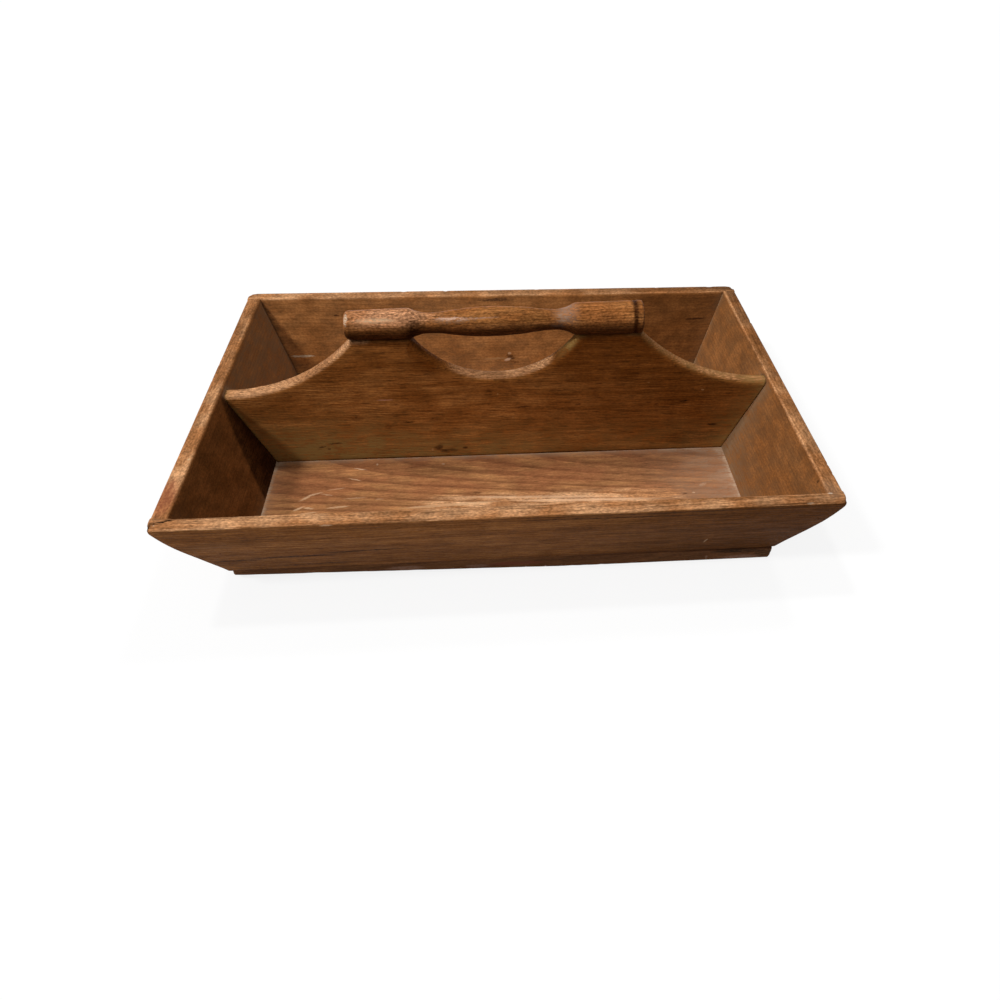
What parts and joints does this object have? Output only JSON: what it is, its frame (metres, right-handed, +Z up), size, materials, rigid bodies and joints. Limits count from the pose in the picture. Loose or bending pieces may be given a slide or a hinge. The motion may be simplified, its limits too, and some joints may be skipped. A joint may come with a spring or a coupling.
{
  "type": "storage caddy",
  "caption": "Wooden carrying tray with splayed sides on a planted base, a shaped divider with a hand opening and a turned handle along its top.",
  "frame": {"origin": "on the table, under the middle of the tray's outline at the rim", "axes": "+X along the handle and the divider, to the right seen from the front; +Y to the rear; +Z up"},
  "size_m": [0.42, 0.29, 0.1385],
  "materials": {
    "base_pine": "waxed, worn",
    "side_pine": "waxed, aged",
    "divider_pine": "waxed, aged",
    "handle_wood": "waxed, polished by hands",
    "peg_wood": "bare",
    "nail_iron": "dull, rusted"
  },
  "bodies": {
    "root": {"base_board": "base_pine", "front_board": "side_pine", "rear_board": "side_pine", "left_end_board": "side_pine", "right_end_board": "side_pine", "divider": "divider_pine", "handle": "handle_wood", "handle_pegs": "peg_wood", "front_corner_nails": "nail_iron", "rear_corner_nails": "nail_iron", "divider_end_nails": "nail_iron", "base_rim_nails": "nail_iron", "base_divider_nails": "nail_iron"}
  },
  "joints": []
}
